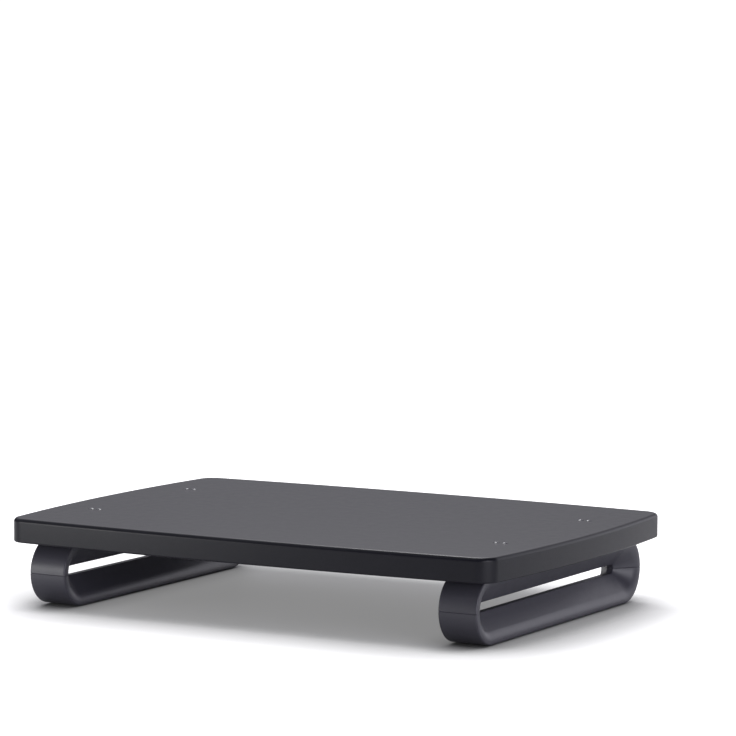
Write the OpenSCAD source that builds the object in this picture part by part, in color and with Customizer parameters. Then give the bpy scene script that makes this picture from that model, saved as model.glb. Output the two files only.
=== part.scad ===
// Monitor riser stand: a moulded platform on two pill-shaped legs.
// Each leg's upper half pushes up into the platform on four pegs, and its lower half
// pushes up into the upper half on two pegs. Rubber pads sit under the ends of the legs.
// Millimetres. +X is to the right, -Y is towards the user, +Z is up.
// The origin is on the desk, under the middle of the platform.

/* [Platform] */
// Overall width, at the middle of the bowed sides
deck_w = 409; // [390:1:430]
// Overall depth, at the middle of the bowed front and rear
deck_d = 290; // [280:1:310]
// Height of the platform's edge
deck_h = 17.8; // [15:0.1:22]
// Distance that the sides bow outward
side_bow = 8.3; // [4:0.1:12]
// Distance that the front and the rear bow outward
front_bow = 6.8; // [4:0.1:12]
// Radius of the corners, seen from above
corner_r = 14; // [6:0.5:15]
// Radius of the edge round the top
top_edge_r = 3; // [1:0.1:3.5]
// Radius of the edge round the bottom rim
rim_edge_r = 1.2; // [0.4:0.1:1.4]
// Thickness of the top skin
skin_t = 3; // [2.4:0.1:4]
// Thickness of the wall round the edge
wall_t = 2.8; // [2.2:0.1:4]
// Thickness of the ribs under the skin
rib_t = 1.8; // [1.2:0.1:2.4]
// Distance from one rib to the next
rib_pitch = 36; // [30:1:50]

/* [Legs] */
// Length of a leg, front to rear
leg_len = 261; // [250:1:270]
// Height of a leg without its pads
leg_h = 48.5; // [46:0.5:54]
// Width of a leg
leg_t = 30; // [27:0.5:31]
// Distance from the platform's middle to a leg's middle
leg_x = 168; // [164:0.5:172]
// Distance that a leg's top goes up inside the platform's rim
leg_inset = 1.5; // [1:0.1:3]
// Height of the slot along the middle of a leg
slot_h = 6.8; // [6:0.1:8]
// Thickness of the leg beside the slot
web_t = 5; // [4:0.1:6]
// Distance from a leg's outer edge to where its side begins to slope in to the slot
rim_w = 6; // [5.6:0.1:7]
// Radius that rounds the beginning of that slope
slope_round = 12; // [8:0.5:12.5]
// Wall left round the cores inside a leg
leg_wall = 2.3; // [1.8:0.1:3]
// Chamfer along a leg's outer edges
leg_chamfer = 1.3; // [0.5:0.1:1.6]

/* [Pegs] */
// Distance from the middle to the pegs that hold the platform, front and rear
peg_y = 66.5; // [55:0.5:80]
// Distance between the two pegs of a pair
peg_pitch = 6.5; // [6:0.1:8]
// Diameter of a platform peg
peg_d = 4.4; // [4:0.1:5]
// Height of a platform peg's domed tip, which stands above the platform
peg_dome = 0.7; // [0.3:0.1:1]
// Diameter of the pegs that join the two halves of a leg
joint_peg_d = 6; // [5:0.5:7]
// Height of the pegs that join the two halves of a leg
joint_peg_h = 11; // [9:0.5:12]
// Height of the domed tip on those pegs
joint_peg_dome = 1.2; // [0.5:0.1:2]
// Gap between a peg and its hole, all round
peg_gap = 0.06; // [0.02:0.01:0.1]

/* [Pads] */
// Length of a rubber pad
pad_len = 36; // [28:1:44]
// Width of a rubber pad
pad_w = 20; // [16:0.5:22]
// Thickness of a rubber pad
pad_t = 2.2; // [1.8:0.1:3]
// Height of a pad that stands out below the leg
pad_proud = 0.8; // [0.5:0.1:1]

/* [Hidden] */
$fn = 64;
overlap = 0.01;

leg_r = leg_h / 2;
leg_run = leg_len - leg_h;
leg_mid_z = pad_proud + leg_r;
leg_top_z = pad_proud + leg_h;
deck_z = leg_top_z - leg_inset;
deck_top_z = deck_z + deck_h;
skin_z = deck_top_z - skin_t;

// The outline's arcs: radius and centre of the front, of a side, and of a corner
half_w = deck_w / 2;
half_d = deck_d / 2;
corner_x = half_w - side_bow;
corner_y = half_d - front_bow;
front_r = (corner_x * corner_x + front_bow * front_bow) / (2 * front_bow);
side_r = (corner_y * corner_y + side_bow * side_bow) / (2 * side_bow);
front_c = [0, front_r - half_d];
side_c = [half_w - side_r, 0];
// The corner's centre lies a corner radius inside both arcs
span = norm(front_c - side_c);
reach_side = side_r - corner_r;
reach_front = front_r - corner_r;
along = (reach_side * reach_side - reach_front * reach_front + span * span) / (2 * span);
across = sqrt(reach_side * reach_side - along * along);
dir = (front_c - side_c) / span;
corner_c = side_c + along * dir + across * [dir.y, -dir.x];
front_end = atan2(corner_c.y - front_c.y, corner_c.x - front_c.x);
side_end = atan2(corner_c.y - side_c.y, corner_c.x - side_c.x);
front_steps = 12;
corner_steps = 10;
side_steps = 9;
edge_steps = 5;
rim_steps = 3;

// A leg's sloping side: its angle, and how far its rounded beginning runs on each side
slope_end = leg_r - rim_w;
slope_angle = atan2((leg_t - web_t) / 2, slope_end - slot_h / 2);
round_run = slope_round * tan(slope_angle / 2);
round_steps = 5;

// Pegs and their bosses
peg_top_z = deck_top_z + peg_dome;
dome_steps = 4;
boss_d = 9;
boss_block = 20;
joint_peg_y = leg_run / 2 + 15.5;
socket_spare = 1;

// Cores inside a leg half: cross webs leave solid blocks where the pegs stand
core_floor = 8;
core_end = leg_run / 2 - 3;
cross_web = 2;
cross_web_y = 22;
pad_y = leg_run / 2 - 4 - pad_len / 2;
pad_recess = pad_t - pad_proud;

// Ribs under the platform
rib_gap = 4;
rib_rows = [-3, -2, -1, 0, 1, 2, 3];
seat_rib_x = leg_t / 2 - 1.5;
seat_rib_len = leg_run - 4;

deck_color = [0.19, 0.19, 0.20];
leg_color = [0.23, 0.23, 0.25];
pad_color = [0.08, 0.08, 0.08];

function arc(centre, radius, from, to, steps) =
    [for (i = [0:steps]) centre + radius * [cos(from + (to - from) * i / steps),
                                            sin(from + (to - from) * i / steps)]];

function reversed(points) = [for (i = [len(points) - 1:-1:0]) points[i]];

function without_last(points) = [for (i = [0:len(points) - 2]) points[i]];

// A quarter of the platform's outline, from the front's middle to the right side's middle
function quarter(inset) = concat(
    without_last(arc(front_c, front_r - inset, -90, front_end, front_steps)),
    without_last(arc(corner_c, corner_r - inset, front_end, side_end, corner_steps)),
    arc(side_c, side_r - inset, side_end, 0, side_steps));

function flipped(points, fx, fy) = [for (p = points) [p.x * fx, p.y * fy]];

// The whole outline, moved inward by inset
function outline(inset) = concat(
    without_last(quarter(inset)),
    without_last(flipped(reversed(quarter(inset)), 1, -1)),
    without_last(flipped(quarter(inset), -1, -1)),
    without_last(flipped(reversed(quarter(inset)), -1, 1)));

function ring(z, inset) = [for (p = outline(inset)) [p.x, p.y, z]];

// The platform's outer body: rings of the outline, with the rim and the top edge rounded
module platform_block() {
    rings = concat(
        [for (i = [0:rim_steps])
            let (a = 90 * i / rim_steps)
            ring(deck_z + rim_edge_r * (1 - cos(a)), rim_edge_r * (1 - sin(a)))],
        [for (i = [0:edge_steps])
            let (a = 90 * i / edge_steps)
            ring(deck_top_z - top_edge_r * (1 - sin(a)), top_edge_r * (1 - cos(a)))]);
    n = len(rings[0]);
    last = len(rings) - 1;
    sides = [for (k = [0:last - 1], j = [0:n - 1])
        let (next = (j + 1) % n)
        [k * n + j, (k + 1) * n + j, (k + 1) * n + next, k * n + next]];
    bottom = [for (j = [0:n - 1]) j];
    top = [for (j = [n - 1:-1:0]) last * n + j];
    polyhedron([for (r = rings) each r], concat([bottom, top], sides));
}

// Calls its children at both ends of both legs, where the pairs of platform pegs stand
module at_peg_pairs() {
    for (x = [-leg_x, leg_x], y = [-peg_y, peg_y])
        translate([x, y, 0])
            children();
}

module peg_pair() {
    for (x = [-peg_pitch / 2, peg_pitch / 2])
        translate([x, 0, 0])
            children();
}

// A stadium-shaped block along X: two round ends and a straight middle
module stadium_x(length, width, height) {
    for (s = [-1, 1])
        translate([s * (length - width) / 2, 0, 0])
            cylinder(d = width, h = height);
    translate([-(length - width) / 2, -width / 2, 0])
        cube([length - width, width, height]);
}

module ribs() {
    rib_h = skin_z - deck_z - rib_gap + overlap;
    intersection() {
        union() {
            for (i = rib_rows) {
                translate([-half_w, i * rib_pitch - rib_t / 2, deck_z + rib_gap])
                    cube([deck_w, rib_t, rib_h]);
                translate([i * rib_pitch - rib_t / 2, -half_d, deck_z + rib_gap])
                    cube([rib_t, deck_d, rib_h]);
            }
        }
        translate([0, 0, deck_z])
            linear_extrude(deck_h - skin_t / 2)
                polygon(outline(wall_t / 2));
    }
}

// Two ribs that rest on each leg's top, and the bosses that its pegs go up into
module leg_seats() {
    seat_h = skin_z - leg_top_z + overlap;
    for (x = [-leg_x, leg_x], s = [-1, 1])
        translate([x + s * seat_rib_x - rib_t / 2, -seat_rib_len / 2, leg_top_z])
            cube([rib_t, seat_rib_len, seat_h]);
    at_peg_pairs()
        translate([0, 0, leg_top_z])
            stadium_x(peg_pitch + boss_d, boss_d, seat_h);
}

module platform() {
    color(deck_color)
        difference() {
            union() {
                difference() {
                    platform_block();
                    translate([0, 0, deck_z - 1])
                        linear_extrude(deck_h - skin_t + 1)
                            polygon(outline(wall_t));
                }
                ribs();
                leg_seats();
            }
            at_peg_pairs()
                peg_pair()
                    translate([0, 0, leg_top_z - 1])
                        cylinder(d = peg_d + 2 * peg_gap, h = deck_h + 2);
        }
}

// Half of a leg's cross-section. The first axis is the distance from the leg's middle
// line, and the second is across the leg's width.
module leg_section() {
    round_c = [slope_end + round_run, leg_t / 2 - slope_round];
    side = concat(
        [[slot_h / 2, web_t / 2]],
        arc(round_c, slope_round, 90 + slope_angle, 90, round_steps),
        [[leg_r - leg_chamfer, leg_t / 2], [leg_r, leg_t / 2 - leg_chamfer]]);
    polygon(concat(side, flipped(reversed(side), 1, -1)));
}

// The whole leg: its section swept round a stadium, with the leg's middle at the origin
module leg_body() {
    rotate([0, 90, 0]) {
        for (m = [0, 1])
            mirror([m, 0, 0])
                translate([0, leg_run / 2, 0])
                    rotate([90, 0, 0])
                        linear_extrude(leg_run)
                            leg_section();
        for (m = [0, 1])
            mirror([0, m, 0])
                translate([0, leg_run / 2, 0])
                    rotate_extrude(angle = 180)
                        leg_section();
    }
}

// The shape that is cored out of a leg half from its flat side, between two places along it
module core(from, to) {
    slope_wall = leg_wall / cos(slope_angle);
    half = leg_t / 2 - leg_wall;
    floor_half = web_t / 2 - slope_wall + (core_floor - slot_h / 2) * tan(slope_angle);
    widest = slot_h / 2 + (half - web_t / 2 + slope_wall) / tan(slope_angle);
    side = [[floor_half, core_floor], [half, widest], [half, leg_r + 1]];
    translate([0, to, 0])
        rotate([90, 0, 0])
            linear_extrude(to - from)
                polygon(concat(side, flipped(reversed(side), -1, 1)));
}

// Cores between webs: stops lists where each web or block begins and ends
module cores(stops) {
    for (i = [0:2:len(stops) - 2])
        core(stops[i], stops[i + 1]);
}

// A round peg from z = 0 up, with a domed tip
module domed_peg(d, height, dome) {
    dome_r = (d * d / 4 + dome * dome) / (2 * dome);
    rim_angle = acos(d / 2 / dome_r);
    rotate_extrude()
        polygon(concat([[0, 0], [d / 2, 0]],
                       arc([0, height - dome_r], dome_r, rim_angle, 90, dome_steps)));
}

// The half of a leg above its middle, cored from above, with its platform pegs
module leg_upper() {
    inner = peg_y - boss_block / 2;
    outer = peg_y + boss_block / 2;
    difference() {
        intersection() {
            leg_body();
            translate([-leg_t, -leg_len, 0])
                cube([2 * leg_t, 2 * leg_len, leg_h]);
        }
        cores([-core_end, -outer, -inner, -cross_web_y - cross_web, -cross_web_y, cross_web_y,
               cross_web_y + cross_web, inner, outer, core_end]);
        for (y = [-joint_peg_y, joint_peg_y])
            translate([0, y, -1])
                cylinder(d = joint_peg_d + 2 * peg_gap, h = joint_peg_h + socket_spare + 1);
    }
    for (y = [-peg_y, peg_y])
        translate([0, y, leg_r - 1])
            peg_pair()
                domed_peg(peg_d, peg_top_z - leg_top_z + 1, peg_dome);
}

// The half of a leg below its middle, cored from below, with the pegs that join the halves
module leg_lower() {
    inner = pad_y - pad_len / 2 - 2;
    difference() {
        intersection() {
            leg_body();
            translate([-leg_t, -leg_len, -leg_h])
                cube([2 * leg_t, 2 * leg_len, leg_h]);
        }
        mirror([0, 0, 1])
            cores([-inner, -cross_web_y - cross_web, -cross_web_y, cross_web_y,
                   cross_web_y + cross_web, inner]);
        for (s = [-1, 1])
            translate([0, s * pad_y, -leg_r - 1])
                rotate([0, 0, 90])
                    stadium_x(pad_len, pad_w, pad_recess + 1);
    }
    for (y = [-joint_peg_y, joint_peg_y])
        translate([0, y, -1])
            domed_peg(joint_peg_d, joint_peg_h + 1, joint_peg_dome);
}

// A rubber pad at one end of one leg. side is -1 left or 1 right, end is -1 front or 1 rear.
module pad(side, end) {
    color(pad_color)
        translate([side * leg_x, end * pad_y, 0])
            rotate([0, 0, 90])
                stadium_x(pad_len, pad_w, pad_t);
}

// Puts a leg half where it stands. side is -1 left or 1 right.
module leg_place(side) {
    color(leg_color)
        translate([side * leg_x, 0, leg_mid_z])
            children();
}

platform();
leg_place(-1) leg_upper();  // left_leg_upper
leg_place(-1) leg_lower();  // left_leg_lower
leg_place(1) leg_upper();  // right_leg_upper
leg_place(1) leg_lower();  // right_leg_lower
pad(-1, -1);  // left_front_pad
pad(-1, 1);  // left_rear_pad
pad(1, -1);  // right_front_pad
pad(1, 1);  // right_rear_pad
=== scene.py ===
"""Looks of the monitor riser stand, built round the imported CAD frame. Metres, +Z up, -Y towards the user."""
import math

import bmesh
import bpy
from mathutils import Matrix, Vector


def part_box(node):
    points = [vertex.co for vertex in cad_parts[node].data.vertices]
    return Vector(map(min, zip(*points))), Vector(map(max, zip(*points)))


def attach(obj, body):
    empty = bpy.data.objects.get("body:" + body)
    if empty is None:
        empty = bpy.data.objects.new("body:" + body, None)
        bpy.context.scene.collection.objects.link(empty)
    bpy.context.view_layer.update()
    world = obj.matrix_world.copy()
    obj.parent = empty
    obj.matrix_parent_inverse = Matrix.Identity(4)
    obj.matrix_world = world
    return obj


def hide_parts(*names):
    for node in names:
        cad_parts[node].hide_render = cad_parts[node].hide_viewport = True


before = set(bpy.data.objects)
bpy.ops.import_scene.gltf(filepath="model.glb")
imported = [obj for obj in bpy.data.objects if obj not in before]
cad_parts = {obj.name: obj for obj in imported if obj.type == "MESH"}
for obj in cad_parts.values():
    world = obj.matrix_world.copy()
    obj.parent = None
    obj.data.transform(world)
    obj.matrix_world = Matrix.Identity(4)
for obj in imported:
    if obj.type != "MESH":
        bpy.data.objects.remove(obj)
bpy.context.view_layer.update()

# ---- Sizes that the frame gives ----
PLATFORM_LO, PLATFORM_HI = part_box("platform")
UPPER_LO, UPPER_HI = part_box("right_leg_upper")
LOWER_LO, LOWER_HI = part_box("right_leg_lower")
PAD_LO, PAD_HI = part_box("right_rear_pad")
HALF_W = PLATFORM_HI.x
HALF_D = PLATFORM_HI.y
LEG_X = (UPPER_LO.x + UPPER_HI.x) / 2
LEG_T = UPPER_HI.x - UPPER_LO.x
LEG_MID_Z = UPPER_LO.z
LEG_R = LEG_MID_Z - LOWER_LO.z
LEG_TOP_Z = LEG_MID_Z + LEG_R
LEG_RUN = UPPER_HI.y - UPPER_LO.y - 2 * LEG_R
PEG_TOP_Z = UPPER_HI.z
JOINT_PEG_H = LOWER_HI.z - LEG_MID_Z
PAD_Y = (PAD_LO.y + PAD_HI.y) / 2

# ---- Sizes that the frame holds but doesn't name, as in the CAD model ----
MM = 0.001
SIDE_BOW = 8.3 * MM
FRONT_BOW = 6.8 * MM
CORNER_R = 14 * MM
TOP_EDGE_R = 3 * MM
RIM_EDGE_R = 1.2 * MM
SKIN_T = 3 * MM
WALL_T = 2.8 * MM
RIB_T = 1.8 * MM
RIB_PITCH = 36 * MM
RIBS_EACH_SIDE = 3
RIB_GAP = 4 * MM
SEAT_RIB_X = LEG_T / 2 - 1.5 * MM
SEAT_RIB_LEN = LEG_RUN - 4 * MM
SLOT_R = 3.4 * MM
WEB_T = 5 * MM
RIM_W = 6 * MM
SLOPE_ROUND = 12 * MM
LEG_WALL = 2.3 * MM
CORE_FLOOR = 8 * MM
CORE_END = LEG_RUN / 2 - 3 * MM
CROSS_WEB = 2 * MM
CROSS_WEB_Y = 22 * MM
PEG_Y = 66.5 * MM
PEG_PITCH = 6.5 * MM
PEG_R = 2.2 * MM
PEG_GAP = 0.06 * MM
BOSS_R = 4.5 * MM
BOSS_BLOCK = 20 * MM
JOINT_PEG_Y = LEG_RUN / 2 + 15.5 * MM
JOINT_PEG_R = 3 * MM
SOCKET_SPARE = 1 * MM
PAD_MARGIN = 2 * MM
SKIN_Z = PLATFORM_HI.z - SKIN_T
PEG_DOME = PEG_TOP_Z - PLATFORM_HI.z
JOINT_PEG_DOME = 1.2 * MM

# The slope of a leg's sides, from the rim in to the slot
SLOPE_END = LEG_R - RIM_W
SLOPE = math.atan2((LEG_T - WEB_T) / 2, SLOPE_END - SLOT_R)

# ---- Details that only the looks have ----
SKIN_FILLET = 1.2 * MM
WALL_CHAMFER = 0.3 * MM
RIB_DRAFT = 0.2 * MM
RIB_TIP = 0.3 * MM
SEAM_CHAMFER = 0.3 * MM
LEG_EDGE_R = 1.1 * MM
SLOT_EDGE_R = 0.5 * MM
PEG_HOLE_EDGE = 0.3 * MM
SOCKET_CHAMFER = 0.4 * MM
PAD_EDGE_R = 0.5 * MM
GROOVE_DEPTH = 0.45 * MM
GROOVE_SLOPE = 0.2 * MM
GROOVE_W = 1.2 * MM
GROOVE_INSETS = (2.2 * MM, 5.2 * MM)

# ---- How the meshes are made ----
# How far a rib or a boss goes into the skin, and a tool past a face
OVERLAP = 0.5 * MM
OVERRUN = 1 * MM
# Points closer than this become one
STRAY = 0.002 * MM
SMOOTH_ANGLE = math.radians(32)
FRONT_STEPS = 24
CORNER_STEPS = 16
SIDE_STEPS = 18
ROUND_STEPS = 40
TOP_EDGE_STEPS = 8
SMALL_EDGE_STEPS = 4
SLOPE_STEPS = 12
LEG_EDGE_STEPS = 6
DOME_STEPS = 8
# The angle left flat at the tip of a dome
DOME_FLAT = 0.05
# The step in degrees round a leg's ends, and the spans between them
SWEEP_STEP = 3
SWEEP_SPANS = 6

# The two sides, or the two ends
BOTH = (-1, 1)


# ---- Outlines ----

def arc(cx, cy, radius, start, end, steps):
    """Points along an arc, with angles in radians."""
    angles = [start + (end - start) * i / steps for i in range(steps + 1)]
    return [(cx + radius * math.cos(a), cy + radius * math.sin(a)) for a in angles]


def quarter_round(steps):
    """Steps round an edge of radius 1: the distances from the face where it ends, and where it starts."""
    for i in range(steps + 1):
        a = math.pi / 2 * i / steps
        yield 1 - math.sin(a), 1 - math.cos(a)


def bow_radius(half_chord, bow):
    """The radius of an arc that stands bow proud of its chord."""
    return (half_chord ** 2 + bow ** 2) / (2 * bow)


FRONT_R = bow_radius(HALF_W - SIDE_BOW, FRONT_BOW)
SIDE_R = bow_radius(HALF_D - FRONT_BOW, SIDE_BOW)
FRONT_C = Vector((0, FRONT_R - HALF_D))
SIDE_C = Vector((HALF_W - SIDE_R, 0))


def corner_centre():
    """The centre of the right front corner, a corner radius inside the front's arc and the side's arc."""
    gap = FRONT_C - SIDE_C
    reach_side = SIDE_R - CORNER_R
    reach_front = FRONT_R - CORNER_R
    along = (reach_side ** 2 - reach_front ** 2 + gap.length_squared) / (2 * gap.length)
    across = math.sqrt(reach_side ** 2 - along ** 2)
    way = gap.normalized()
    return SIDE_C + way * along + Vector((way.y, -way.x)) * across


CORNER_C = corner_centre()


def outline(inset):
    """The platform's outline from above, moved inward by inset, anticlockwise from the front's middle."""
    to_corner = CORNER_C - FRONT_C
    from_corner = CORNER_C - SIDE_C
    front_end = math.atan2(to_corner.y, to_corner.x)
    side_end = math.atan2(from_corner.y, from_corner.x)
    quarter = arc(*FRONT_C, FRONT_R - inset, -math.pi / 2, front_end, FRONT_STEPS)[:-1]
    quarter += arc(*CORNER_C, CORNER_R - inset, front_end, side_end, CORNER_STEPS)[:-1]
    quarter += arc(*SIDE_C, SIDE_R - inset, side_end, 0, SIDE_STEPS)
    back = quarter[::-1]
    return (quarter[:-1] + [(x, -y) for x, y in back][:-1]
            + [(-x, -y) for x, y in quarter][:-1] + [(-x, y) for x, y in back][:-1])


def stadium(length, width, inset, steps=16):
    """A stadium along Y, moved inward by inset, anticlockwise."""
    run = (length - width) / 2
    radius = width / 2 - inset
    return arc(0, run, radius, 0, math.pi, steps) + arc(0, -run, radius, math.pi, 2 * math.pi, steps)


def rounded_corner(here, before, after, radius, steps):
    """The points that round a corner, whose neighbours on the outline are before and after."""
    here = Vector(here)
    to_before = (Vector(before) - here).normalized()
    to_after = (Vector(after) - here).normalized()
    half = to_before.angle(to_after) / 2
    centre = here + (to_before + to_after).normalized() * (radius / math.sin(half))
    first = here + to_before * (radius / math.tan(half)) - centre
    last = here + to_after * (radius / math.tan(half)) - centre
    turn = first.angle_signed(last)
    return [tuple(centre + Matrix.Rotation(-turn * k / steps, 2) @ first) for k in range(steps + 1)]


# ---- Meshes ----

def mesh_object(name, bm):
    """A new object from a finished bmesh, with its faces turned outward."""
    bmesh.ops.recalc_face_normals(bm, faces=bm.faces)
    mesh = bpy.data.meshes.new(name)
    bm.to_mesh(mesh)
    bm.free()
    obj = bpy.data.objects.new(name, mesh)
    bpy.context.scene.collection.objects.link(obj)
    return obj


def loft(name, rings):
    """A solid through rings of points, with its two ends capped."""
    bm = bmesh.new()
    loops = [[bm.verts.new(p) for p in ring] for ring in rings]
    bm.faces.new(loops[0][::-1])
    bm.faces.new(loops[-1])
    for lower, upper in zip(loops, loops[1:]):
        n = len(lower)
        for i in range(n):
            k = (i + 1) % n
            bm.faces.new((lower[i], lower[k], upper[k], upper[i]))
    return mesh_object(name, bm)


def at_height(points, z):
    """Flat points lifted to a height."""
    return [(x, y, z) for x, y in points]


def lathe(x, y, profile):
    """A solid of revolution about the vertical line at x, y, from (radius, z) points."""
    rings = []
    for radius, z in profile:
        circle = arc(x, y, radius, 0, 2 * math.pi, ROUND_STEPS)[:-1]
        rings.append(at_height(circle, z))
    return loft("tool", rings)


def combine(obj, tool, operation):
    """Joins tool to obj or cuts it out, and removes tool."""
    step = obj.modifiers.new("combine", "BOOLEAN")
    step.operation = operation
    step.solver = "MANIFOLD"
    step.object = tool
    apply_modifiers(obj)
    old = tool.data
    bpy.data.objects.remove(tool)
    bpy.data.meshes.remove(old)


def apply_modifiers(obj):
    """Keeps an object's evaluated mesh and clears its modifiers."""
    graph = bpy.context.evaluated_depsgraph_get()
    mesh = bpy.data.meshes.new_from_object(obj.evaluated_get(graph))
    old = obj.data
    obj.modifiers.clear()
    obj.data = mesh
    bpy.data.meshes.remove(old)


def finish_surface(obj):
    """Merges stray points, smooths across shallow angles, and lets the large flat faces set the shading."""
    bm = bmesh.new()
    bm.from_mesh(obj.data)
    bmesh.ops.remove_doubles(bm, verts=bm.verts, dist=STRAY)
    bmesh.ops.dissolve_degenerate(bm, edges=bm.edges, dist=STRAY)
    bm.to_mesh(obj.data)
    bm.free()
    for face in obj.data.polygons:
        face.use_smooth = True
    obj.data.set_sharp_from_angle(angle=SMOOTH_ANGLE)
    weights = obj.modifiers.new("weights", "WEIGHTED_NORMAL")
    weights.mode = "FACE_AREA"
    weights.weight = 100
    weights.keep_sharp = True
    apply_modifiers(obj)


# ---- Platform ----

def edge_rings(z_edge, z_side, radius, steps):
    """Rings of a rounded edge, from the flat face at z_edge out to the wall at z_side."""
    return [at_height(outline(radius * inward), z_edge + (z_side - z_edge) * along)
            for inward, along in quarter_round(steps)]


def tray():
    """The skin and the wall round it, as one closed loft from the skin's underside out over the top."""
    z_rim, z_top = PLATFORM_LO.z, PLATFORM_HI.z
    rings = [at_height(outline(WALL_T + SKIN_FILLET * inward), SKIN_Z - SKIN_FILLET * along)
             for inward, along in quarter_round(SMALL_EDGE_STEPS)]
    rings.append(at_height(outline(WALL_T), z_rim + WALL_CHAMFER))
    rings.append(at_height(outline(WALL_T - WALL_CHAMFER), z_rim))
    rings += edge_rings(z_rim, z_rim + RIM_EDGE_R, RIM_EDGE_R, SMALL_EDGE_STEPS)
    rings += edge_rings(z_top, z_top - TOP_EDGE_R, TOP_EDGE_R, TOP_EDGE_STEPS)[::-1]
    return loft("platform_moulding", rings)


def wall_reach_x(y):
    """Distance from the middle to the middle of the side wall, at y."""
    return SIDE_C.x + math.sqrt((SIDE_R - WALL_T / 2) ** 2 - y ** 2)


def wall_reach_y(x):
    """Distance from the middle to the middle of the front wall, at x."""
    return math.sqrt((FRONT_R - WALL_T / 2) ** 2 - x ** 2) - FRONT_C.y


def rib(lo, hi, along):
    """An upright rib from its foot at lo.z up into the skin, a little thinner at its free edge."""
    x0, y0, z0 = lo
    x1, y1, z1 = hi
    rings = []
    for z, thin in ((z0, RIB_DRAFT + RIB_TIP), (z0 + RIB_TIP, RIB_DRAFT), (z1, 0)):
        dx, dy = (0, thin) if along == "x" else (thin, 0)
        left, right, front, back = x0 + dx, x1 - dx, y0 + dy, y1 - dy
        rings.append(at_height([(left, front), (right, front), (right, back), (left, back)], z))
    return loft("tool", rings)


def platform_ribs():
    """The crossed ribs under the skin, and the two that each leg's top rests against."""
    z_foot = PLATFORM_LO.z + RIB_GAP
    z_root = SKIN_Z + OVERLAP
    half = RIB_T / 2
    for i in range(-RIBS_EACH_SIDE, RIBS_EACH_SIDE + 1):
        place = i * RIB_PITCH
        reach = wall_reach_x(abs(place) + half)
        yield rib((-reach, place - half, z_foot), (reach, place + half, z_root), "x")
        reach = wall_reach_y(abs(place) + half)
        yield rib((place - half, -reach, z_foot), (place + half, reach, z_root), "y")
    reach = SEAT_RIB_LEN / 2
    for side in BOTH:
        for edge in BOTH:
            x = side * LEG_X + edge * SEAT_RIB_X
            yield rib((x - half, -reach, LEG_TOP_Z), (x + half, reach, z_root), "y")


def peg_places():
    """The middle of each platform peg."""
    return [(side * LEG_X + s * PEG_PITCH / 2, end * PEG_Y) for side in BOTH for end in BOTH for s in BOTH]


def peg_boss(x, y):
    """The boss round a pair of pegs, a stadium across the leg."""
    across = [(px + x, py + y) for py, px in stadium(PEG_PITCH + 2 * BOSS_R, 2 * BOSS_R, 0, 20)]
    return loft("tool", [at_height(across, LEG_TOP_Z), at_height(across, SKIN_Z + OVERLAP)])


def peg_hole(x, y):
    """The hole for a peg, chamfered at the platform's top."""
    top = PLATFORM_HI.z
    hole_r = PEG_R + PEG_GAP
    return lathe(x, y, [(hole_r, LEG_TOP_Z - OVERRUN), (hole_r, top - PEG_HOLE_EDGE),
                        (hole_r + 2 * PEG_HOLE_EDGE, top + PEG_HOLE_EDGE)])


def build_platform():
    """The platform: the tray with its ribs, its bosses and the holes for the pegs."""
    obj = tray()
    for tool in platform_ribs():
        combine(obj, tool, "UNION")
    for side in BOTH:
        for end in BOTH:
            combine(obj, peg_boss(side * LEG_X, end * PEG_Y), "UNION")
    for x, y in peg_places():
        combine(obj, peg_hole(x, y), "DIFFERENCE")
    finish_surface(obj)
    return obj


# ---- Legs ----

def leg_section():
    """A leg's section beside the slot, as points of distance from the slot's middle and place across."""
    slot = (SLOT_R, WEB_T / 2)
    slope_end = (SLOPE_END, LEG_T / 2)
    edge = (LEG_R, LEG_T / 2)
    side = (rounded_corner(slot, (SLOT_R, 0), slope_end, SLOT_EDGE_R, SMALL_EDGE_STEPS)
            + rounded_corner(slope_end, slot, edge, SLOPE_ROUND, SLOPE_STEPS)
            + rounded_corner(edge, slope_end, (LEG_R, 0), LEG_EDGE_R, LEG_EDGE_STEPS))
    return side + [(r, -t) for r, t in side[::-1]]


def inset_points(points, distance):
    """A closed polygon's points moved inward by distance, each along its own normal."""
    area = sum(a[0] * b[1] - b[0] * a[1] for a, b in zip(points, points[1:] + points[:1]))
    sign = 1 if area > 0 else -1
    moved = []
    for i, (x, y) in enumerate(points):
        ahead = Vector(points[(i + 1) % len(points)]) - Vector(points[i - 1])
        normal = Vector((-ahead.y, ahead.x)).normalized() * sign
        moved.append((x + normal.x * distance, y + normal.y * distance))
    return moved


def swept_half():
    """Rings of a leg's upper half about the origin, from the rear seam over the top to the front seam."""
    section = leg_section()
    seam = inset_points(section, SEAM_CHAMFER)
    run = LEG_RUN / 2
    rear = [[(t, run + r, 0) for r, t in seam], [(t, run + r, SEAM_CHAMFER) for r, t in section]]
    for degrees in range(2 * SWEEP_STEP, 90 + SWEEP_STEP, SWEEP_STEP):
        a = math.radians(degrees)
        rear.append([(t, run + r * math.cos(a), r * math.sin(a)) for r, t in section])
    places = [run - LEG_RUN * i / SWEEP_SPANS for i in range(1, SWEEP_SPANS)]
    middle = [[(t, y, r) for r, t in section] for y in places]
    front = [[(x, -y, z) for x, y, z in ring] for ring in rear[::-1]]
    return rear + middle + front


def core(start, end):
    """What is cored out of a leg half between two places along it."""
    half = LEG_T / 2 - LEG_WALL
    slope_wall = LEG_WALL / math.cos(SLOPE)
    floor_half = WEB_T / 2 - slope_wall + (CORE_FLOOR - SLOT_R) * math.tan(SLOPE)
    widest = SLOT_R + (half - WEB_T / 2 + slope_wall) / math.tan(SLOPE)
    side = [(floor_half, CORE_FLOOR), (half, widest), (half, LEG_R + OVERRUN)]
    section = side + [(-t, r) for t, r in side[::-1]]
    return loft("tool", [[(t, y, r) for t, r in section] for y in (start, end)])


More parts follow.
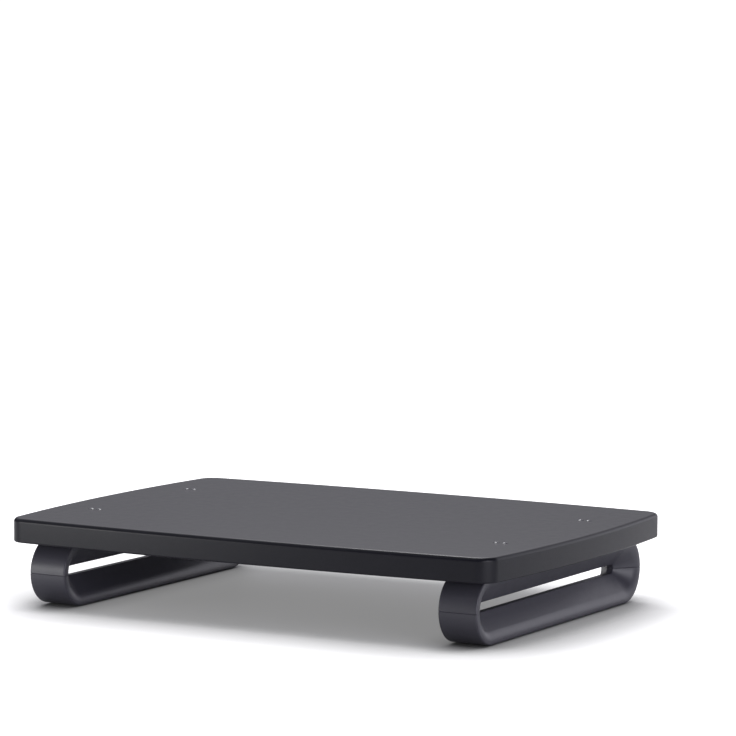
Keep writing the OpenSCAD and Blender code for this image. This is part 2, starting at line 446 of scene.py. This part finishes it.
def domed_peg(x, y, radius, z_root, z_top, dome):
    """A round peg whose tip is a shallow dome."""
    dome_r = (radius ** 2 + dome ** 2) / (2 * dome)
    rim = math.acos(radius / dome_r)
    profile = [(radius, z_root)]
    profile += arc(0, z_top - dome_r, dome_r, rim, math.pi / 2 - DOME_FLAT, DOME_STEPS)
    return lathe(x, y, profile)


def middle_cores(reach):
    """Where the three middle cores of a leg half start and end, with a cross web between each two."""
    far_side = CROSS_WEB_Y + CROSS_WEB
    return [(-reach, -far_side), (-CROSS_WEB_Y, CROSS_WEB_Y), (far_side, reach)]


def build_upper(name):
    """The upper half of a leg about the origin, with its cores, its sockets and the platform pegs."""
    obj = loft(name, swept_half())
    inner = PEG_Y - BOSS_BLOCK / 2
    outer = PEG_Y + BOSS_BLOCK / 2
    for start, end in [(-CORE_END, -outer)] + middle_cores(inner) + [(outer, CORE_END)]:
        combine(obj, core(start, end), "DIFFERENCE")
    socket_r = JOINT_PEG_R + PEG_GAP
    socket = [(socket_r + SOCKET_CHAMFER, -SOCKET_CHAMFER), (socket_r, SOCKET_CHAMFER),
              (socket_r, JOINT_PEG_H + SOCKET_SPARE)]
    for end in BOTH:
        combine(obj, lathe(0, end * JOINT_PEG_Y, socket), "DIFFERENCE")
    peg_top = PEG_TOP_Z - LEG_MID_Z
    for end in BOTH:
        for s in BOTH:
            peg = domed_peg(s * PEG_PITCH / 2, end * PEG_Y, PEG_R, LEG_R - OVERRUN, peg_top, PEG_DOME)
            combine(obj, peg, "UNION")
    return obj


def build_lower(name):
    """The lower half of a leg about the origin, with its cores, its pad seats and the joint pegs."""
    obj = loft(name, [[(x, y, -z) for x, y, z in ring] for ring in swept_half()])
    pad_len = PAD_HI.y - PAD_LO.y
    pad_w = PAD_HI.x - PAD_LO.x
    for start, end in middle_cores(PAD_Y - pad_len / 2 - PAD_MARGIN):
        tool = core(start, end)
        tool.data.transform(Matrix.Scale(-1, 4, (0, 0, 1)))
        tool.data.flip_normals()
        combine(obj, tool, "DIFFERENCE")
    seat_z = PAD_HI.z - LEG_MID_Z
    for end in BOTH:
        seat = [(x, y + end * PAD_Y) for x, y in stadium(pad_len, pad_w, 0)]
        tool = loft("tool", [at_height(seat, -LEG_R - OVERRUN), at_height(seat, seat_z)])
        combine(obj, tool, "DIFFERENCE")
        peg = domed_peg(0, end * JOINT_PEG_Y, JOINT_PEG_R, -OVERRUN, JOINT_PEG_H, JOINT_PEG_DOME)
        combine(obj, peg, "UNION")
    return obj


def build_leg_half(side_name, side, half_name):
    """The half of a leg that side_name and half_name say, in its place, where side is -1 or 1."""
    name = f"{side_name}_leg_{half_name}_moulding"
    obj = build_upper(name) if half_name == "upper" else build_lower(name)
    obj.data.transform(Matrix.Translation((side * LEG_X, 0, LEG_MID_Z)))
    finish_surface(obj)
    return obj


# ---- Pads ----

def build_pad(node):
    """A rubber pad with a rounded foot, and two grooves round its underside."""
    lo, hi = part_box(node)
    centre_x, centre_y = (lo.x + hi.x) / 2, (lo.y + hi.y) / 2
    length, width = hi.y - lo.y, hi.x - lo.x
    groove_z = lo.z + GROOVE_DEPTH
    steps = [(0, hi.z)]
    for up, inward in quarter_round(SMALL_EDGE_STEPS):
        steps.append((PAD_EDGE_R * inward, lo.z + PAD_EDGE_R * up))
    for inset in GROOVE_INSETS:
        far_side = inset + GROOVE_W
        steps += [(inset, lo.z), (inset + GROOVE_SLOPE, groove_z)]
        steps += [(far_side - GROOVE_SLOPE, groove_z), (far_side, lo.z)]
    rings = []
    for inset, z in steps:
        points = stadium(length, width, inset)
        rings.append([(x + centre_x, y + centre_y, z) for x, y in points])
    return loft(f"{node}_rubber", rings)


# ---- Materials ----

# Each pair of base colours is what a surface's darkest and lightest spots have
PLATFORM_COLOURS = (0.0055, 0.0055, 0.009), (0.0105, 0.0105, 0.016)
LEG_COLOURS = (0.042, 0.041, 0.053), (0.055, 0.054, 0.069)
RUBBER_COLOURS = (0.012, 0.012, 0.012), (0.03, 0.03, 0.029)
# The part of a noise's range that its contrast is taken from
NOISE_SPAN = (0.3, 0.7)
DUST_SPAN = (0.35, 0.7)


def node_tree(name):
    """A new material, its node tree and its shader."""
    material = bpy.data.materials.new(name)
    material.use_nodes = True
    tree = material.node_tree
    return material, tree, tree.nodes["Principled BSDF"]


def add(tree, kind, **inputs):
    """A new node with the values of its inputs, whose names have _ for each space."""
    item = tree.nodes.new(kind)
    for key, value in inputs.items():
        item.inputs[key.replace("_", " ")].default_value = value
    return item


def noise(tree, place, scale, detail=2.0, rough=0.5):
    """A noise whose scale is in spots per metre."""
    item = add(tree, "ShaderNodeTexNoise", Scale=scale, Detail=detail, Roughness=rough)
    tree.links.new(place, item.inputs["Vector"])
    return item.outputs["Fac"]


def spread(tree, value, low, high, from_low=0.0, from_high=1.0):
    """Maps a value to the range low to high."""
    item = tree.nodes.new("ShaderNodeMapRange")
    item.inputs["From Min"].default_value = from_low
    item.inputs["From Max"].default_value = from_high
    item.inputs["To Min"].default_value = low
    item.inputs["To Max"].default_value = high
    tree.links.new(value, item.inputs["Value"])
    return item.outputs["Result"]


def mix_color(tree, factor, first, second):
    """A colour from first to second, as factor goes from 0 to 1."""
    item = tree.nodes.new("ShaderNodeMix")
    item.data_type = "RGBA"
    item.inputs["A"].default_value = (*first, 1)
    item.inputs["B"].default_value = (*second, 1)
    tree.links.new(factor, item.inputs["Factor"])
    return item.outputs["Result"]


def combined(tree, operation, first, second):
    """The sum or the product of two values."""
    item = tree.nodes.new("ShaderNodeMath")
    item.operation = operation
    tree.links.new(first, item.inputs[0])
    tree.links.new(second, item.inputs[1])
    return item.outputs["Value"]


def add_grain(tree, shader, grain, strength, depth):
    """Lets a noise raise and lower the surface by depth, in metres."""
    bump = add(tree, "ShaderNodeBump", Strength=strength, Distance=depth)
    tree.links.new(grain, bump.inputs["Height"])
    tree.links.new(bump.outputs["Normal"], shader.inputs["Normal"])


def moulded_plastic(name, colours, rough, ior, grain_mm, depth_mm):
    """Moulded plastic with a spark-eroded grain, a trace of cloudiness, and handling marks in its gloss."""
    material, tree, shader = node_tree(name)
    place = tree.nodes.new("ShaderNodeTexCoord").outputs["Object"]
    grain = noise(tree, place, 1 / (grain_mm * MM), 3.0, 0.65)
    cloud = noise(tree, place, 60.0, 5.0, 0.6)
    smudge = noise(tree, place, 150.0, 4.0, 0.6)
    cloud_part = spread(tree, cloud, 0.0, 0.25, *NOISE_SPAN)
    grain_part = spread(tree, grain, 0.0, 0.75, *NOISE_SPAN)
    tint = combined(tree, "ADD", cloud_part, grain_part)
    gloss = spread(tree, smudge, rough - 0.02, rough + 0.02, *NOISE_SPAN)
    tree.links.new(mix_color(tree, tint, *colours), shader.inputs["Base Color"])
    tree.links.new(gloss, shader.inputs["Roughness"])
    shader.inputs["IOR"].default_value = ior
    add_grain(tree, shader, grain, 0.5, depth_mm * MM)
    return material


def rubber(name):
    """Dull black rubber with a fine, slightly dusty grain."""
    material, tree, shader = node_tree(name)
    place = tree.nodes.new("ShaderNodeTexCoord").outputs["Object"]
    dust = noise(tree, place, 300.0, 4.0, 0.6)
    grain = noise(tree, place, 2500.0)
    tint = spread(tree, dust, 0.0, 1.0, *DUST_SPAN)
    gloss = spread(tree, dust, 0.72, 0.88, *NOISE_SPAN)
    tree.links.new(mix_color(tree, tint, *RUBBER_COLOURS), shader.inputs["Base Color"])
    tree.links.new(gloss, shader.inputs["Roughness"])
    add_grain(tree, shader, grain, 0.4, 0.05 * MM)
    return material


def dress(obj, material, body, node):
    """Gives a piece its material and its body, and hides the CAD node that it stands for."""
    obj.data.materials.clear()
    obj.data.materials.append(material)
    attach(obj, body)
    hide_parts(node)


def polish_peg_tips(obj, material):
    """Gives the domes that stand above the platform the glossier finish of their polished mould pins."""
    obj.data.materials.append(material)
    for face in obj.data.polygons:
        if face.center.z > PLATFORM_HI.z:
            face.material_index = 1


# ---- Stage ----

# The camera: its direction from the target, its roll and distance, and its lens and sensor in millimetres
CAM_AZIMUTH = math.radians(29.167)
CAM_ELEVATION = math.radians(5.697)
CAM_ROLL = math.radians(0.297)
CAM_DISTANCE = 2.8748
CAM_TARGET = Vector((0.02446, 0, 0.17473))
CAM_LENS = 193.8
CAM_SENSOR = 36
CAM_FAR = 60
FLOOR_REACH = 14.0
# The floor's base colour where its painted shade is full, and in the open
FLOOR_SHADED_AND_OPEN_COLOURS = (0.25, 0.25, 0.25), (0.88, 0.88, 0.88)
# How strongly the open floor glows for the camera, and for the light that falls on the object
FLOOR_SHOWN = 0.92
FLOOR_GLOW = 0.28
# Each range of painted shade on the floor: its reach, the openness where it is full and gone, and its least
# light
CONTACT_SHADE = (0.03, 0.2, 1.0, 0.0)
WIDE_SHADE = (0.12, 0.45, 1.0, 0.25)
WHITE = (1, 1, 1, 1)
COOL_WHITE = (0.975, 0.965, 1.05, 1)
# The strength of the backdrop that the camera sees, and of the studio's even light
SHOWN_LIGHT = 1.1
ROOM_LIGHT = 0.03
# Soft bright patches of the studio: the way to each, the cosines at its edge and its middle, its strength
PATCHES = [
    ((0.42, 0.88, 0.12), (0.80, 0.97), 1.5),
    ((-0.48, 0.87, 0.05), (0.80, 0.97), 0.22),
    ((-0.375, 0.674, 0.638), (0.88, 0.97), 1.0),
    ((-0.485, -0.08, 0.87), (0.60, 0.90), 0.45),
    ((0.9, -0.43, 0.1), (0.84, 0.985), 4.3),
]
# Soft boxes: name, place, the point that each is aimed at, width and height, and power in watts
SOFT_BOXES = [
    ("left_box", (-0.75, -0.85, 0.135), (-0.15, -0.15, 0.03), (0.45, 0.26), 2.6),
    ("top_box", (-0.33, 0.6, 1.0), (0, 0, 0.05), (0.4, 0.4), 4),
]


def add_camera():
    """The camera, aimed at its target, with a small roll about its own axis."""
    back = Vector((math.sin(CAM_AZIMUTH) * math.cos(CAM_ELEVATION),
                   -math.cos(CAM_AZIMUTH) * math.cos(CAM_ELEVATION), math.sin(CAM_ELEVATION)))
    level = Vector((math.cos(CAM_AZIMUTH), math.sin(CAM_AZIMUTH), 0))
    above = back.cross(level)
    right = level * math.cos(CAM_ROLL) + above * math.sin(CAM_ROLL)
    up = above * math.cos(CAM_ROLL) - level * math.sin(CAM_ROLL)
    data = bpy.data.cameras.new("camera")
    data.lens = CAM_LENS
    data.sensor_width = CAM_SENSOR
    data.clip_end = CAM_FAR
    camera = bpy.data.objects.new("camera", data)
    turn = Matrix((right, up, back)).transposed().to_4x4()
    camera.matrix_world = Matrix.Translation(CAM_TARGET + back * CAM_DISTANCE) @ turn
    bpy.context.scene.collection.objects.link(camera)
    bpy.context.scene.camera = camera


def add_soft_box(name, place, target, size, power):
    """A rectangular area light."""
    data = bpy.data.lights.new(name, "AREA")
    data.shape = "RECTANGLE"
    data.size, data.size_y = size
    data.energy = power
    light = bpy.data.objects.new(name, data)
    aim = Vector(target) - Vector(place)
    light.rotation_euler = aim.to_track_quat("-Z", "Y").to_euler()
    light.location = place
    bpy.context.scene.collection.objects.link(light)


def openness(tree, reach, closed, opened, least):
    """How open a place is to its surroundings within reach, from least to 1."""
    near = add(tree, "ShaderNodeAmbientOcclusion", Distance=reach).outputs["AO"]
    return spread(tree, near, least, 1.0, closed, opened)


def add_stage():
    """A pale, glowing floor, with painted shade that darkens its colour and its glow in the nooks under and
    round the object.
    """
    bm = bmesh.new()
    corners = ((-1, -1), (1, -1), (1, 1), (-1, 1))
    bm.faces.new([bm.verts.new((x * FLOOR_REACH, y * FLOOR_REACH, 0)) for x, y in corners])
    floor = mesh_object("floor", bm)
    material, tree, shader = node_tree("floor")
    # Painted shade: ambient occlusion near the object darkens the floor's colour and its glow
    shade = combined(tree, "MULTIPLY", openness(tree, *CONTACT_SHADE), openness(tree, *WIDE_SHADE))
    seen = tree.nodes.new("ShaderNodeLightPath").outputs["Is Camera Ray"]
    glow = combined(tree, "MULTIPLY", shade, spread(tree, seen, FLOOR_GLOW, FLOOR_SHOWN))
    tree.links.new(mix_color(tree, shade, *FLOOR_SHADED_AND_OPEN_COLOURS), shader.inputs["Base Color"])
    tree.links.new(glow, shader.inputs["Emission Strength"])
    shader.inputs["Emission Color"].default_value = WHITE
    shader.inputs["Roughness"].default_value = 0.6
    shader.inputs["Specular IOR Level"].default_value = 0.2
    floor.data.materials.append(material)


def facing(tree, way, axis):
    """How far a direction points along an axis, from -1 to 1."""
    item = tree.nodes.new("ShaderNodeVectorMath")
    item.operation = "DOT_PRODUCT"
    item.inputs[1].default_value = axis
    tree.links.new(way, item.inputs[0])
    return item.outputs["Value"]


def add_world():
    """A studio that is plain white where the camera sees it, and lights the object with soft patches."""
    world = bpy.data.worlds.new("studio")
    world.use_nodes = True
    tree = world.node_tree
    way = tree.nodes.new("ShaderNodeTexCoord").outputs["Generated"]
    light = tree.nodes.new("ShaderNodeValue").outputs["Value"]
    light.default_value = ROOM_LIGHT
    for axis, cosines, strength in PATCHES:
        patch = spread(tree, facing(tree, way, axis), 0.0, strength, *cosines)
        light = combined(tree, "ADD", light, patch)
    lit = add(tree, "ShaderNodeBackground", Color=COOL_WHITE)
    tree.links.new(light, lit.inputs["Strength"])
    seen = tree.nodes["Background"]
    seen.inputs["Color"].default_value = WHITE
    seen.inputs["Strength"].default_value = SHOWN_LIGHT
    mix = tree.nodes.new("ShaderNodeMixShader")
    tree.links.new(tree.nodes.new("ShaderNodeLightPath").outputs["Is Camera Ray"], mix.inputs["Fac"])
    tree.links.new(lit.outputs["Background"], mix.inputs[1])
    tree.links.new(seen.outputs["Background"], mix.inputs[2])
    tree.links.new(mix.outputs["Shader"], tree.nodes["World Output"].inputs["Surface"])
    bpy.context.scene.world = world


# ---- The scene ----

bpy.context.scene.view_settings.view_transform = "Standard"
add_camera()
add_stage()
add_world()
for soft_box in SOFT_BOXES:
    add_soft_box(*soft_box)

platform_plastic = moulded_plastic("platform_plastic", PLATFORM_COLOURS, rough=0.32, ior=1.33,
                                   grain_mm=0.5, depth_mm=0.05)
leg_plastic = moulded_plastic("leg_plastic", LEG_COLOURS, rough=0.38, ior=1.5,
                              grain_mm=0.4, depth_mm=0.02)
peg_tip_plastic = moulded_plastic("peg_tip_plastic", LEG_COLOURS, rough=0.2, ior=1.6,
                                  grain_mm=0.4, depth_mm=0.001)
pad_rubber = rubber("pad_rubber")

dress(build_platform(), platform_plastic, "platform", "platform")
for side_name, side in (("left", -1), ("right", 1)):
    for half_name in ("upper", "lower"):
        node = f"{side_name}_leg_{half_name}"
        half = build_leg_half(side_name, side, half_name)
        dress(half, leg_plastic, node, node)
        if half_name == "upper":
            polish_peg_tips(half, peg_tip_plastic)
    for end_name in ("front", "rear"):
        node = f"{side_name}_{end_name}_pad"
        dress(build_pad(node), pad_rubber, f"{side_name}_leg_lower", node)
